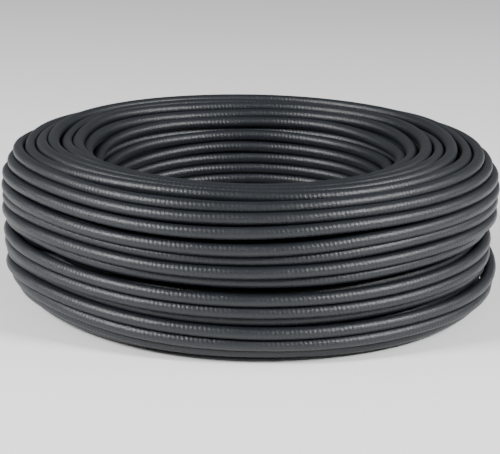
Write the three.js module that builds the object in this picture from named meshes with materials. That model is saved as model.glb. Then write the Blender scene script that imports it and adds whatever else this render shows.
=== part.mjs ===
// A coil of network cable: one long dark jacketed cable wound round and round into
// a thick ring with a wide open bore. The whole winding is one turned solid, and
// every turn that lies on its surface shows as a ridge with a groove beside it.
// Millimetres, +Z up, the coil lying flat with the middle of its underside at the origin.
import * as THREE from 'three';

const CABLE_DIAMETER = 7.2;   // the round jacket of the cable
const OUTER_DIAMETER = 310;   // across the outermost turns
const BORE_DIAMETER = 178;    // across the open middle, inside the innermost turns
const COIL_HEIGHT = 100;      // from the lowest turns to the highest
const TOP_ROUNDING = 26;      // how far the winding rounds off at its two upper edges
const BASE_ROUNDING = 20;     // the same at its two lower edges
const GROOVE_DEPTH = 2.1;     // how deep the valley between two neighbouring turns goes
const CREST_SHARE = 0.44;     // share of each turn's width that is its broad crest
const FACETS_AROUND = 48;     // a multiple of four, so the ring fills its box evenly

const halfWidth = (OUTER_DIAMETER - BORE_DIAMETER) / 4;
const middleRadius = (OUTER_DIAMETER + BORE_DIAMETER) / 4;
const wallLength = COIL_HEIGHT - TOP_ROUNDING - BASE_ROUNDING;
const topFlat = halfWidth - TOP_ROUNDING;
const baseFlat = halfWidth - BASE_ROUNDING;

// Once round the skin of the winding's section, in section coordinates from the
// middle of the underside. Each leg is a straight run and the bend that ends it.
const legs = [
  { start: [0, 0], along: [1, 0], length: baseFlat, rounding: BASE_ROUNDING },
  { start: [halfWidth, BASE_ROUNDING], along: [0, 1], length: wallLength, rounding: TOP_ROUNDING },
  { start: [topFlat, COIL_HEIGHT], along: [-1, 0], length: 2 * topFlat, rounding: TOP_ROUNDING },
  {
    start: [-halfWidth, COIL_HEIGHT - TOP_ROUNDING],
    along: [0, -1],
    length: wallLength,
    rounding: BASE_ROUNDING,
  },
  { start: [-baseFlat, 0], along: [1, 0], length: baseFlat, rounding: 0 },
];

// Distances are measured where the turns' middles lie, half a cable inside the skin.
for (const leg of legs) {
  leg.bend = Math.max(leg.rounding - CABLE_DIAMETER / 2, 0);
  leg.total = leg.length + (Math.PI / 2) * leg.bend;
}
const lapLength = legs.reduce((sum, leg) => sum + leg.total, 0);

/** A point `depth` below the skin, at a distance along the lap, as radius and height. */
function skinPoint(distance, depth) {
  let left = (distance + lapLength) % lapLength;
  let leg = legs[0];
  for (leg of legs) {
    if (left <= leg.total) break;
    left -= leg.total;
  }
  const run = Math.min(left, leg.length);
  const turned = leg.bend > 0 ? (left - run) / leg.bend : 0;
  const reach = leg.rounding - depth;
  const onward = run + reach * Math.sin(turned);
  const outward = reach * Math.cos(turned) - leg.rounding;
  const [ax, az] = leg.along;
  return new THREE.Vector2(
    middleRadius + leg.start[0] + ax * onward + az * outward,
    leg.start[1] + az * onward - ax * outward,
  );
}

/** The closed outline: a groove and the two edges of a broad crest for every turn. */
function windingOutline() {
  const turns = 2 * Math.round(lapLength / CABLE_DIAMETER / 2);
  const pitch = lapLength / turns;
  const halfCrest = (CREST_SHARE * pitch) / 2;
  const outline = [];
  for (let turn = 0; turn < turns; turn += 1) {
    const crest = turn * pitch;
    outline.push(skinPoint(crest - pitch / 2, GROOVE_DEPTH));
    outline.push(skinPoint(crest - halfCrest, 0));
    outline.push(skinPoint(crest + halfCrest, 0));
  }
  outline.push(outline[0].clone());
  return outline;
}

const winding = new THREE.LatheGeometry(windingOutline(), FACETS_AROUND);
winding.rotateX(Math.PI / 2);

const jacket = new THREE.MeshStandardMaterial({
  color: 0x45484d,
  roughness: 0.5,
  metalness: 0.0,
});

const coil = new THREE.Mesh(winding, jacket);
coil.name = 'cable_coil';

const part = new THREE.Group();
part.name = 'network_cable_coil';
part.add(coil);

export default part;
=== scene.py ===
import math

import bpy
import numpy as np
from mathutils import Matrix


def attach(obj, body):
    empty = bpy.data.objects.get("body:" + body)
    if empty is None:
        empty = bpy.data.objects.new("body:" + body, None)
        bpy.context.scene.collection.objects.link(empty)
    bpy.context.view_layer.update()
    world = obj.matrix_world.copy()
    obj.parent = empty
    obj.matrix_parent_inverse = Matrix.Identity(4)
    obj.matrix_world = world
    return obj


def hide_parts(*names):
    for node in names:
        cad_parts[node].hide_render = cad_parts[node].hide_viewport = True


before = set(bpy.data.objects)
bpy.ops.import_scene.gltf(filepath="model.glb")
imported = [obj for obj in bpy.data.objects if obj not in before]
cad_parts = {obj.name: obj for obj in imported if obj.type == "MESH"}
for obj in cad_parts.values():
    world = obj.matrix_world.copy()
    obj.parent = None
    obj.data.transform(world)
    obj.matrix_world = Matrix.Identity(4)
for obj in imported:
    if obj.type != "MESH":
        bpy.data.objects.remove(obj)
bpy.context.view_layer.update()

# The winding. About 84 m of cable is wound by hand into a ring that lies flat: the
# turns lie side by side on the outer wall, top, bore wall and underside, and more
# loosely inside. Here it is worked out as a round section at every 5 degrees.
MM = 0.001
CABLE = 7.2
OUTER, BORE, HEIGHT = 309.4, 178.0, 99.8
TOP_ROUNDING, BASE_ROUNDING = 26.0, 20.0
STATIONS = 72
rng = np.random.default_rng(11)

# How far round the coil each station is, from 0 to 1 and starting at the back, and
# the same as degrees from the front: less than 0 to the left and more to the right.
t_station = np.arange(STATIONS) / STATIONS
azimuth = (360.0 * t_station + 180.0) % 360.0
azimuth = np.where(azimuth > 180.0, azimuth - 360.0, azimuth)

r_mid = (OUTER + BORE) / 4
half_w = (OUTER - BORE) / 4 - CABLE / 2
half_h = HEIGHT / 2 - CABLE / 2
top_bend = TOP_ROUNDING - CABLE / 2
base_bend = BASE_ROUNDING - CABLE / 2


def smooth(x, low, high):
    """0 below low, 1 above high, and 3x^2 - 2x^3 of the fraction between."""
    x = np.clip((x - low) / (high - low), 0.0, 1.0)
    return x * x * (3.0 - 2.0 * x)


def on_lap(s, depth):
    """Radius and height of a point s mm round the lap of turn centres, depth mm inside it.

    The lap is a rectangle with rounded corners. It starts at the middle of the
    underside and runs out, up the outer wall, in over the top and down the bore.
    Each leg is a straight run and the bend that ends it.
    """
    w, h = half_w - depth, half_h - depth
    top, base = max(top_bend - depth, 0.5), max(base_bend - depth, 0.5)
    wall = 2 * h - top - base
    legs = [((0.0, -h), (1, 0), w - base, base), ((w, base - h), (0, 1), wall, top),
            ((w - top, h), (-1, 0), 2 * (w - top), top), ((-w, h - top), (0, -1), wall, base),
            ((base - w, -h), (1, 0), w - base, 0.0)]
    left = np.mod(s, sum(run + math.pi / 2 * bend for _, _, run, bend in legs))
    x, z = np.zeros_like(left), np.zeros_like(left)
    for (from_x, from_z), (ax, az), run, bend in legs:
        whole = run + math.pi / 2 * bend
        here = (left >= 0) & (left <= whole)
        straight = np.clip(left, 0, run)
        turned = (left - straight) / bend if bend else 0 * left
        onward = straight + bend * np.sin(turned)
        outward = bend * (np.cos(turned) - 1)
        x = np.where(here, from_x + ax * onward + az * outward, x)
        z = np.where(here, from_z + az * onward - ax * outward, z)
        left = left - whole
    return r_mid + x, HEIGHT / 2 + z


def lap_length(depth):
    """Length in mm of the lap of turn centres, depth mm inside the skin."""
    top, base = max(top_bend - depth, 0.5), max(base_bend - depth, 0.5)
    return 4 * (half_w + half_h - 2 * depth) - (4 - math.pi) * (top + base)


def drawn_in(z, degrees):
    """How far in mm the outer wall is drawn in below the middle, but not at the right."""
    right = np.exp(-((degrees - 85.0) / 40.0) ** 2)
    return 2.2 * (1.0 - smooth(z, 26.0, 60.0)) * (1.0 - right)


def base_bend_at(degrees):
    """Bend of the lower outer edge at the turn centres: rounder to the left of the front."""
    return base_bend + 12.0 * np.exp(-((degrees + 66.0) / 42.0) ** 2)


def wall_radius(z, degrees):
    """Radius of turn centres that lie on the outer wall at that height."""
    low = base_bend_at(degrees)
    above = np.clip(z - (HEIGHT - CABLE / 2 - top_bend), 0.0, top_bend)
    below = np.clip(CABLE / 2 + low - z, 0.0, low)
    at_top = top_bend - np.sqrt(top_bend ** 2 - above ** 2)
    at_base = low - np.sqrt(low ** 2 - below ** 2)
    return OUTER / 2 - CABLE / 2 - at_top - at_base - drawn_in(z, degrees)


def top_sag(degrees):
    """How far in mm the top lies lower across the front."""
    return 3.0 * np.exp(-(degrees / 50.0) ** 2)


def wander(count, size, waves=4):
    """One slow random wave round the coil for each turn, size mm either way."""
    total = np.zeros((STATIONS, count))
    for wave in range(1, waves + 1):
        amount = rng.normal(0, 1, count) / wave ** 0.7
        phase = rng.uniform(0, 2 * math.pi, count)
        total += amount * np.cos(2 * math.pi * wave * t_station[:, None] + phase)
    return size * total / 1.3


# How the turns of the outer wall lie across the front, from the top edge down: the
# height of each at five places from left to right, and how far it is sunk between
# its neighbours. Three wider gaps run between them, and the turns behind keep clear.
FRONT_AT = [-48.0, -28.0, 0.0, 26.0, 48.0]
FRONT = [
    ([92.5, 89.5, 91.1, 92.0, 92.0], 0.0),
    ([87.0, 84.0, 84.0, 86.5, 87.5], 2.6),
    ([80.6, 76.6, 76.4, 81.0, 82.5], 0.0),
    ([71.0, 66.8, 66.0, 71.0, 73.0], 0.0),
    ([65.5, 61.0, 59.8, 64.5, 67.0], 3.6),
    ([59.5, 55.4, 53.9, 57.0, 59.5], 0.0),
    ([53.4, 50.2, 48.9, 50.6, 52.6], 4.4),
    ([43.0, 38.8, 37.4, 39.0, 41.8], 0.0),
    ([36.2, 31.8, 30.4, 32.0, 34.8], 0.0),
    ([31.2, 27.0, 25.4, 26.6, 29.0], 4.0),
    ([25.0, 20.0, 17.6, 19.0, 20.0], 0.0),
    ([19.0, 14.8, 12.2, 12.0, 12.5], 0.4),
    ([13.0, 8.8, 5.6, 5.0, 5.8], 0.0),
]
GAPS = [(2, 3), (6, 7), (9, 10)]

# One turn, counted from the top, hangs slack at the right. It lies that far up there,
# rises behind, and the turns above it are drawn in beside it.
LOOSE = 10
LOOSE_AT, LOOSE_BEHIND = 88.0, 118.0
LOOSE_HEIGHT, LOOSE_RISE, RECESS = 21.0, 11.0, 5.0
RECESS_FROM = 6

# Places on the skin, in the order of the lap: underside, outer wall, top, bore wall
# and underside again. The first on the top is one step past where the wall ends.
PITCH, TOP_PITCH, BORE_GAP = 7.3, 7.9, 4.4
UNDER_TURNS, TOP_TURNS, BORE_TURNS = 3, 6, 10
WALL_END = 90.0
skin_length = lap_length(0.0)
under_s = np.arange(UNDER_TURNS) * PITCH + 1.0
wall_count = len(FRONT)
fine_s = np.linspace(0.0, skin_length, 2000)
fine_r, fine_z = on_lap(fine_s, 0.0)
rising = (fine_r > r_mid) & (fine_s < fine_s[np.argmax(fine_z)])
edge_s = np.interp(WALL_END, fine_z[rising], fine_s[rising])
top_s = edge_s + TOP_PITCH * np.arange(1, TOP_TURNS + 1)
bore_s = top_s[-1] + BORE_GAP + PITCH * np.arange(1, BORE_TURNS + 1)
last_s = np.arange(bore_s[-1] + PITCH, skin_length - 6.2, PITCH)

skin_r, skin_z = [], []


def add_skin(s, stray, sink):
    """Adds skin turns: s mm along the lap, stray mm to the side, sink mm inwards."""
    count = len(s)
    s_all = s[None, :] + wander(count, stray)
    deep = sink * rng.uniform(0, 1, count)[None, :] + np.abs(wander(count, 0.5 * sink))
    r, z = on_lap(s_all, 0.0)
    r_in, z_in = on_lap(s_all, CABLE)
    away = np.hypot(r_in - r, z_in - z) + 1e-9
    skin_r.append(r + (r_in - r) / away * deep)
    skin_z.append(z + (z_in - z) / away * deep)


add_skin(under_s, 0.8, 0.8)
even_z = np.interp(np.linspace(under_s[-1], top_s[0], wall_count + 2)[1:-1], fine_s, fine_z)
front_share = 1.0 - smooth(np.abs(azimuth), 55.0, 110.0)
r_list, z_list = [], []
for i, (heights, sink) in enumerate(FRONT[::-1]):
    guided = np.interp(azimuth, FRONT_AT, heights)
    guided = np.convolve(np.concatenate([guided[-3:], guided, guided[:3]]), np.ones(7) / 7, "valid")
    free = even_z[i] + wander(1, 1.2)[:, 0]
    z = free + (guided - free) * front_share
    r = wall_radius(z, azimuth)
    r = r - sink * front_share - (1 - front_share) * rng.uniform(0.0, 2.0)
    beside = np.exp(-((azimuth - LOOSE_AT) / 26.0) ** 2)
    from_top = wall_count - 1 - i
    if from_top == LOOSE:
        behind = np.exp(-((azimuth - LOOSE_BEHIND) / 22.0) ** 2)
        z = z + (LOOSE_HEIGHT + LOOSE_RISE * behind - z) * np.maximum(beside, behind)
        r = r + (OUTER / 2 - CABLE / 2 - r) * np.maximum(beside, 0.6 * behind)
    elif RECESS_FROM <= from_top < LOOSE:
        r = r - RECESS * beside
    r_list.append(r)
    z_list.append(z)
skin_r.append(np.array(r_list).T)
skin_z.append(np.array(z_list).T)

# Hollows that no turn fills: the middle of each, and how far from it the turns inside
# and on the skin keep. Three are the gaps across the front. Three are between turns
# of the top at the left and the right, and the widest of those is next to the bore.
TOP_GAPS = [(0, 4.8), (2, 5.2), (5, 6.4)]
fronts = list(zip(r_list, z_list))[::-1]
across_front = 1.0 - smooth(np.abs(azimuth), 60.0, 95.0)
at_left = np.exp(-((azimuth + 90.0) / 40.0) ** 2)
at_right = 0.8 * np.exp(-((azimuth - 84.0) / 36.0) ** 2)
hollows = []
for (r_over, z_over), (r_under, z_under) in [(fronts[a], fronts[b]) for a, b in GAPS]:
    hollows.append(((r_over + r_under) / 2, (z_over + z_under) / 2, 11.0 * across_front, 0.0 * azimuth))
for after, clear in TOP_GAPS:
    hollow_r, hollow_z = on_lap(np.full(STATIONS, top_s[after] + clear - 0.5), 0.0)
    sides = at_left + at_right
    hollows.append((hollow_r, hollow_z, (clear + 4.6) * sides, clear * sides))
add_skin(top_s, 3.2, 4.2)
add_skin(bore_s, 1.1, 2.2)
add_skin(last_s, 0.8, 0.8)
skin_r, skin_z = np.hstack(skin_r), np.hstack(skin_z)
loose_turn = -skin_r.shape[1] + UNDER_TURNS + (wall_count - 1 - LOOSE)

# The turns inside, in rings of places one within another, the innermost wound first.
INSIDE = [(6.6, 30), (13.2, 24), (19.8, 17), (26.0, 5)]
place_r, place_z, ring_of = [], [], []
for ring, (depth, count) in enumerate(INSIDE[::-1]):
    length = lap_length(depth)
    s = np.arange(count) * length / count + 2.0 + wander(count, 2.0)
    r, z = on_lap(s, depth)
    place_r.append(r + wander(count, 0.8))
    place_z.append(z + wander(count, 0.8))
    ring_of += [ring] * count
place_r.append(skin_r)
place_z.append(skin_z)
ring_of += [len(INSIDE)] * skin_r.shape[1]
place_r, place_z, ring_of = np.hstack(place_r), np.hstack(place_z), np.array(ring_of)
TURNS = place_r.shape[1]
SKIN_FROM = TURNS - skin_r.shape[1]

# Once a lap each turn crosses over to the next place, behind and to the left.
order = np.arange(TURNS)
cross_at = 0.17 + 0.05 * np.sin(2 * math.pi * order / 40.0) + 0.1 * (ring_of % 2) * (ring_of < 4)
move = smooth(t_station[:, None], cross_at - 0.11, cross_at + 0.11)
step = np.minimum(order + 1, TURNS - 1)
want_r = place_r + (place_r[:, step] - place_r) * move
want_z = place_z + (place_z[:, step] - place_z) * move
hold = np.where(ring_of == len(INSIDE), 0.22, 0.02)


# Turn centres never lie lower than this, a hair above where they would touch the floor.
LOWEST = CABLE / 2 + 0.1


def keep_in(r, z):
    """Moves turn centres that are outside the rounded section back to its edge."""
    x, y = r - r_mid, z - HEIGHT / 2
    place = azimuth[:, None]
    y = y + top_sag(place) * smooth(z, 60.0, HEIGHT)
    bend = np.where(y > 0, top_bend, np.where(x > 0, base_bend_at(place), base_bend))
    bend = np.where((y > 0) & (x < 0), top_bend + 4.0, bend)
    cx, cy = np.clip(x, bend - half_w, half_w - bend), np.clip(y, bend - half_h, half_h - bend)
    out = np.hypot(x - cx, y - cy)
    scale = np.where(out > bend, bend / np.maximum(out, 1e-9), 1.0)
    r = r_mid + cx + (x - cx) * scale
    z = HEIGHT / 2 + cy + (y - cy) * scale - top_sag(place) * smooth(z, 60.0, HEIGHT)
    limit = OUTER / 2 - CABLE / 2 - drawn_in(z, azimuth[:, None])
    limit[:, loose_turn] = OUTER / 2 - CABLE / 2
    return np.minimum(r, limit), np.maximum(z, LOWEST)


def straighten(values):
    """Moves each value along the cable half way to the smooth curve of its four neighbours."""
    line = values.T.ravel()
    mean = line.copy()
    mean[2:-2] = (4 * (line[1:-3] + line[3:-1]) - line[:-4] - line[4:]) / 6
    return (line + 0.5 * (mean - line)).reshape(TURNS, STATIONS).T


def push_apart(r, z):
    """Moves turns that lie closer than one cable away from each other."""
    dr = r[:, :, None] - r[:, None, :]
    dz = z[:, :, None] - z[:, None, :]
    gap = np.sqrt(dr * dr + dz * dz) + 1e-6
    push = np.maximum(CABLE - gap, 0.0) / gap * 0.42
    return r + (push * dr).sum(2), z + (push * dz).sum(2)


def push_clear(r, z):
    """Moves turns half way out of the hollows."""
    for hollow_r, hollow_z, inside, skin in hollows:
        dr, dz = r - hollow_r[:, None], z - hollow_z[:, None]
        off = np.hypot(dr, dz) + 1e-6
        clear = np.where(ring_of < len(INSIDE), inside[:, None], skin[:, None])
        push = np.maximum(clear - off, 0.0) / off * 0.5
        r, z = r + push * dr, z + push * dz
    return r, z


def settle(r, z, rounds):
    """Lets the turns settle: no two closer than a cable, none sharply bent, all in the section."""
    for round_ in range(rounds):
        pull = hold * (0.5 if round_ > rounds * 0.7 else 1.0)
        r = straighten(r + (want_r - r) * pull)
        z = straighten(z + (want_z - z) * pull)
        for _ in range(2):
            r, z = keep_in(*push_clear(*push_apart(r, z)))
    return r, z


def ease(values):
    """Each value along the cable as the mean of itself, counted twice, and its two neighbours."""
    line = values.T.ravel()
    line = np.concatenate([line[:1], (line[:-2] + 2 * line[1:-1] + line[2:]) / 4, line[-1:]])
    return line.reshape(TURNS, STATIONS).T


turn_r, turn_z = settle(want_r, want_z, 90)
for _ in range(4):
    turn_r, turn_z = ease(turn_r), ease(turn_z)
turn_z = np.maximum(turn_z, LOWEST)

# At the right the winding is slacker, and its turns lie farther into the bore.
slack = 8.0 * np.exp(-((azimuth[:, None] - 88.0) / 42.0) ** 2)
from_wall = (OUTER - CABLE - 2 * turn_r) / (OUTER - BORE - 2 * CABLE)
turn_r = turn_r - slack * np.clip(from_wall, 0.0, 1.0)

# The cable. One round jacketed cable drawn along that winding, the same thickness
# all the way, both ends cut square: the inner one is inside the coil and the outer
# one lies under it at the back. It is built in three stretches that meet end to end.
SAMPLES = 144
SIDES = 16
CUT_AT = TURNS - 0.98
STRETCHES = [
    ("cable_inner_turns", 0, 36),
    ("cable_middle_turns", 36, SKIN_FROM),
    ("cable_skin_turns", SKIN_FROM, CUT_AT),
]


def along(values, u):
    """Catmull-Rom curve through values at 0, 1, 2 and so on, read off at u."""
    i = np.clip(u.astype(int), 0, len(values) - 2)
    f = u - i
    p0, p1 = values[np.maximum(i - 1, 0)], values[i]
    p2, p3 = values[i + 1], values[np.minimum(i + 2, len(values) - 1)]
    return 0.5 * (2 * p1 + (p2 - p0) * f + (2 * p0 - 5 * p1 + 4 * p2 - p3) * f ** 2
                  + (3 * p1 - p0 - 3 * p2 + p3) * f ** 3)


def centre_line(first, last):
    """Points in mm down the middle of the cable from one turn count to another."""
    u = STATIONS * np.linspace(first, last, int((last - first) * SAMPLES) + 1)
    r = along(turn_r.T.ravel(), u)
    z = along(turn_z.T.ravel(), u)
    turn = 2 * math.pi * (u / STATIONS + 0.25)
    return np.stack([r * np.cos(turn), r * np.sin(turn), z], 1), turn


def tube(name, first, last):
    """A closed round tube along the cable from one turn count to another.

    Each ring of the tube is a circle square to the way the cable runs there. The
    map gives metres along the cable and the share of the way round it.
    """
    centre, turn = centre_line(first, last)
    ahead = np.gradient(centre, axis=0)
    ahead /= np.linalg.norm(ahead, axis=1)[:, None]
    side = np.stack([np.cos(turn), np.sin(turn), np.zeros_like(turn)], 1)
    side -= (side * ahead).sum(1)[:, None] * ahead
    side /= np.linalg.norm(side, axis=1)[:, None]
    up = np.cross(side, ahead)
    spin = 2 * math.pi * np.arange(SIDES) / SIDES
    ring = side[:, None, :] * np.cos(spin)[None, :, None] + up[:, None, :] * np.sin(spin)[None, :, None]
    points = centre[:, None, :] + CABLE / 2 * ring
    rows = len(centre)
    points = np.concatenate([points.reshape(-1, 3), centre[[0, -1]]]) * MM
    i, j = np.meshgrid(np.arange(rows - 1), np.arange(SIDES), indexing="ij")
    k = (j + 1) % SIDES
    near, far = i * SIDES, (i + 1) * SIDES
    quads = np.stack([near + j, near + k, far + k, far + j], -1).reshape(-1, 4)
    j = np.arange(SIDES)
    k = (j + 1) % SIDES
    start, end, base = rows * SIDES, rows * SIDES + 1, (rows - 1) * SIDES
    caps = np.concatenate([np.stack([k, j, np.full(SIDES, start)], 1),
                           np.stack([base + j, base + k, np.full(SIDES, end)], 1)])
    mesh = bpy.data.meshes.new(name)
    mesh.vertices.add(len(points))
    mesh.vertices.foreach_set("co", points.astype(np.float32).ravel())
    corners = np.concatenate([quads.ravel(), caps.ravel()]).astype(np.int32)
    starts = np.concatenate([4 * np.arange(len(quads)), 4 * len(quads) + 3 * np.arange(len(caps))])
    mesh.loops.add(len(corners))
    mesh.loops.foreach_set("vertex_index", corners)
    mesh.polygons.add(len(starts))
    mesh.polygons.foreach_set("loop_start", starts.astype(np.int32))
    mesh.update(calc_edges=True)
    metres = np.concatenate([[0.0], np.cumsum(np.linalg.norm(np.diff(centre, axis=0), axis=1))]) * MM
    length = np.concatenate([np.repeat(metres, SIDES), metres[[0, -1]]])[corners]
    share = np.concatenate([np.tile(np.arange(SIDES) / SIDES, rows), [0.5, 0.5]])[corners]
    second_edge = np.tile([False, True, True, False], len(quads))
    wraps = np.zeros(len(corners), bool)
    wraps[:4 * len(quads)] = second_edge & (corners[:4 * len(quads)] % SIDES == 0)
    share = np.where(wraps, 1.0, share)
    chart = mesh.uv_layers.new(name="along_and_round")
    chart.data.foreach_set("uv", np.stack([length, share], 1).astype(np.float32).ravel())
    flat = np.concatenate([np.ones(len(quads), bool), np.zeros(len(caps), bool)])
    mesh.polygons.foreach_set("use_smooth", flat)
    mesh.validate()
    piece = bpy.data.objects.new(name, mesh)
    bpy.context.scene.collection.objects.link(piece)
    return piece


cable = [tube(*stretch) for stretch in STRETCHES]


# The jacket. Dark blue-grey polyethylene with a soft shine. The twisted pairs inside
# press through as a faint close ripple, and fine drawn marks slant round the cable.
class Shade:
    """A shader socket that can be added, multiplied and so on as if it were a number."""

    def __init__(self, tree, socket):
        self.tree, self.socket = tree, socket

    def node(self, kind, settings=None, **inputs):
        """A node of that type: its settings first, then its sockets by name or place."""
        made = self.tree.nodes.new(kind)
        for key, value in (settings or {}).items():
            setattr(made, key, value)
        for key, value in inputs.items():
            place = int(key[1:]) if key[1:].isdigit() else key.replace("_", " ")
            target = made.inputs[place]
            if isinstance(value, Shade):
                self.tree.links.new(value.socket, target)
            else:
                target.default_value = value
        return made

    def out(self, made, name=0):
        """One of a node's outputs as a Shade."""
        return Shade(self.tree, made.outputs[name])

    def maths(self, operation, *values):
        """A maths node of that operation on these values."""
        numbers = {f"_{i}": value for i, value in enumerate(values)}
        return self.out(self.node("ShaderNodeMath", {"operation": operation}, **numbers))

    def __add__(self, other):
        return self.maths("ADD", self, other)

    def __radd__(self, other):
        return self.maths("ADD", other, self)

    def __sub__(self, other):
        return self.maths("SUBTRACT", self, other)

    def __rsub__(self, other):
        return self.maths("SUBTRACT", other, self)

    def __mul__(self, other):
        return self.maths("MULTIPLY", self, other)

    def __rmul__(self, other):
        return self.maths("MULTIPLY", other, self)

    def sine(self):
        """Sine of this, in radians."""
        return self.maths("SINE", self)


# Metres along the cable from one ripple to the next, and for one round of the marks.
RIPPLE, LAY = 0.0026, 0.040


def jacket_material():
    """Dark satin jacket: colour, roughness and a slanting ripple from the map along the cable."""
    material = bpy.data.materials.new("jacket")
    material.use_nodes = True
    tree = material.node_tree
    surface = tree.nodes["Principled BSDF"]
    start = Shade(tree, None)
    chart = start.node("ShaderNodeUVMap", {"uv_map": "along_and_round"})
    split = start.node("ShaderNodeSeparateXYZ", _0=start.out(chart))
    metres, share = start.out(split, 0), start.out(split, 1)
    place = start.out(start.node("ShaderNodeTexCoord"), "Object")
    slow = start.out(start.node("ShaderNodeTexNoise", Vector=place, Scale=28.0, Detail=3.0))
    ripple = (metres * (2 * math.pi / RIPPLE) + share * (4 * math.pi)).sine()
    lay = share * (2 * math.pi) + metres * (2 * math.pi / LAY)
    strand = start.node("ShaderNodeCombineXYZ", _0=metres * 900.0, _1=(lay + math.pi / 2).sine() * 5.0,
                        _2=lay.sine() * 5.0)
    streaks = start.out(start.node("ShaderNodeTexNoise", Vector=start.out(strand), Scale=1.0, Detail=2.5))
    bump = start.node("ShaderNodeBump", Strength=0.45, Distance=0.0002, Height=ripple * slow)
    grain = start.node("ShaderNodeBump", Strength=0.9, Distance=0.00028, Height=streaks,
                       Normal=start.out(bump))
    tree.links.new(grain.outputs[0], surface.inputs["Normal"])
    colour = start.node("ShaderNodeMix", {"data_type": "RGBA"}, Factor=slow)
    colour.inputs[6].default_value = (0.0050, 0.0068, 0.0094, 1.0)
    colour.inputs[7].default_value = (0.0085, 0.0110, 0.0148, 1.0)
    tree.links.new(colour.outputs[2], surface.inputs["Base Color"])
    tree.links.new((0.36 + slow * 0.12).socket, surface.inputs["Roughness"])
    return material


jacket = jacket_material()
for piece in cable:
    piece.data.materials.append(jacket)
    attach(piece, "root")
    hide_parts("cable_coil")

# The setting. A plain pale floor, an even pale room and five soft lamps: two to the
# front, left and right, that make the two bands of shine, a wide faint one over the
# camera, and two at the sides. The camera is a little above the coil, at its front.
floor_mesh = bpy.data.meshes.new("floor")
floor_mesh.from_pydata([(-6, -6, 0), (6, -6, 0), (6, 6, 0), (-6, 6, 0)], [], [(0, 1, 2, 3)])
floor = bpy.data.objects.new("floor", floor_mesh)
bpy.context.scene.collection.objects.link(floor)
paint = bpy.data.materials.new("floor_paint")
paint.use_nodes = True
paint.node_tree.nodes["Principled BSDF"].inputs["Base Color"].default_value = (0.86, 0.86, 0.86, 1.0)
paint.node_tree.nodes["Principled BSDF"].inputs["Roughness"].default_value = 0.9
floor_mesh.materials.append(paint)

room = bpy.data.worlds.new("room")
room.use_nodes = True
room.node_tree.nodes["Background"].inputs["Color"].default_value = (1.0, 1.0, 1.0, 1.0)
room.node_tree.nodes["Background"].inputs["Strength"].default_value = 0.25
bpy.context.scene.world = room


def lamp(name, place, size, watts):
    """A square soft lamp in metres and watts, turned to face the coil."""
    light = bpy.data.lights.new(name, "AREA")
    light.size, light.energy = size, watts
    made = bpy.data.objects.new(name, light)
    made.location = place
    back = np.array(place) - np.array([0.0, 0.0, 0.04])
    back /= np.linalg.norm(back)
    made.rotation_euler = (math.acos(back[2]), 0.0, math.atan2(back[0], -back[1]))
    bpy.context.scene.collection.objects.link(made)


lamp("lamp_left", (-1.28, -0.75, 1.0), 0.4, 44.0)
lamp("lamp_right", (1.28, -0.75, 1.0), 0.4, 44.0)
lamp("lamp_front", (0.0, -1.6, 1.0), 2.2, 3.5)
lamp("lamp_far_left", (-1.5, 0.1, 0.9), 0.8, 9.0)
lamp("lamp_far_right", (1.5, 0.1, 0.9), 0.8, 9.0)

DISTANCE, RISE, ROLL = 1.24, math.radians(14.6), math.radians(1.0)
view = bpy.data.cameras.new("camera")
view.lens = 142.3
view.shift_y = -0.029
view.clip_start = 0.01
camera = bpy.data.objects.new("camera", view)
camera.location = (0.0, -DISTANCE * math.cos(RISE), 0.050 + DISTANCE * math.sin(RISE))
camera.rotation_mode = "ZYX"
camera.rotation_euler = (math.pi / 2 - RISE, 0.0, ROLL)
bpy.context.scene.collection.objects.link(camera)
bpy.context.scene.camera = camera
